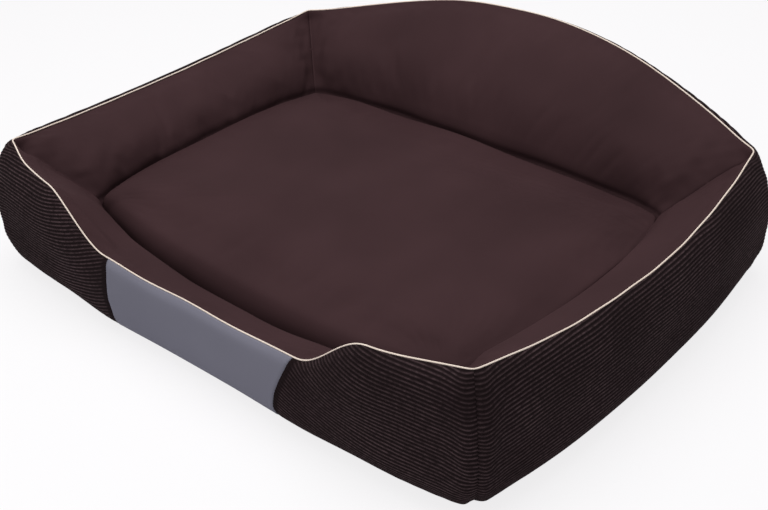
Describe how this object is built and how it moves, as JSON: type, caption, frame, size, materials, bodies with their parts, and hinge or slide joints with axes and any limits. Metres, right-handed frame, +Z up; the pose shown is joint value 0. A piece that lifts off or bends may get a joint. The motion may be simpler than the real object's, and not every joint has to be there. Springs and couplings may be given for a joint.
{
  "type": "dog bed",
  "caption": "Rectangular dog bed with stuffed piped bolsters, an arched back, a low front entry and a loose zipped mattress.",
  "frame": {"origin": "on the floor, below the centre of the rectangle that joins the four rim corners", "axes": "+X to the right along the front, seen from the front; the low entry faces -Y, the arched back is at +Y; +Z is up"},
  "size_m": [1.1968, 0.9655, 0.3316],
  "materials": {
    "corduroy": "matte",
    "inner_fabric": "satin",
    "grey_fabric": "matte",
    "piping": "satin",
    "lining_fabric": "matte",
    "sole_fabric": "matte",
    "foam": "matte",
    "zip_tape": "matte",
    "zip_teeth": "matte",
    "slider_metal": "satin"
  },
  "bodies": {
    "bed_body": {"base_panel": "sole_fabric", "well_lining": "lining_fabric", "back_core": "foam", "left_core": "foam", "right_core": "foam", "front_core": "foam", "back_outer_cover": "corduroy", "left_outer_cover": "corduroy", "right_outer_cover": "corduroy", "front_left_outer_cover": "corduroy", "front_right_outer_cover": "corduroy", "front_grey_panel": "grey_fabric", "back_inner_cover": "inner_fabric", "left_inner_cover": "inner_fabric", "right_inner_cover": "inner_fabric", "front_inner_cover": "inner_fabric", "rim_piping": "piping"},
    "mattress": {"mattress_core": "foam", "mattress_top_cover": "inner_fabric", "mattress_bottom_cover": "lining_fabric", "zip_tape_upper": "zip_tape", "zip_tape_lower": "zip_tape", "zip_teeth_upper": "zip_teeth", "zip_teeth_lower": "zip_teeth", "zip_stops": "zip_teeth"},
    "zip_slider": {"zip_slider": "slider_metal"},
    "zip_pull": {"zip_pull": "slider_metal"}
  },
  "joints": [
    {"name": "mattress_lift", "type": "slide", "parent": "bed_body", "child": "mattress", "axis": [0, 0, 1], "range_m": [0, 0.35]},
    {"name": "zip_slide", "type": "slide", "parent": "mattress", "child": "zip_slider", "axis": [-1, 0, 0], "range_m": [0, 0.537]},
    {"name": "zip_pull_hinge", "type": "hinge", "parent": "zip_slider", "child": "zip_pull", "pos_m": [0.26865, 0.29444, 0.038], "axis": [0, 0, -1], "range_deg": [0, 180]}
  ]
}
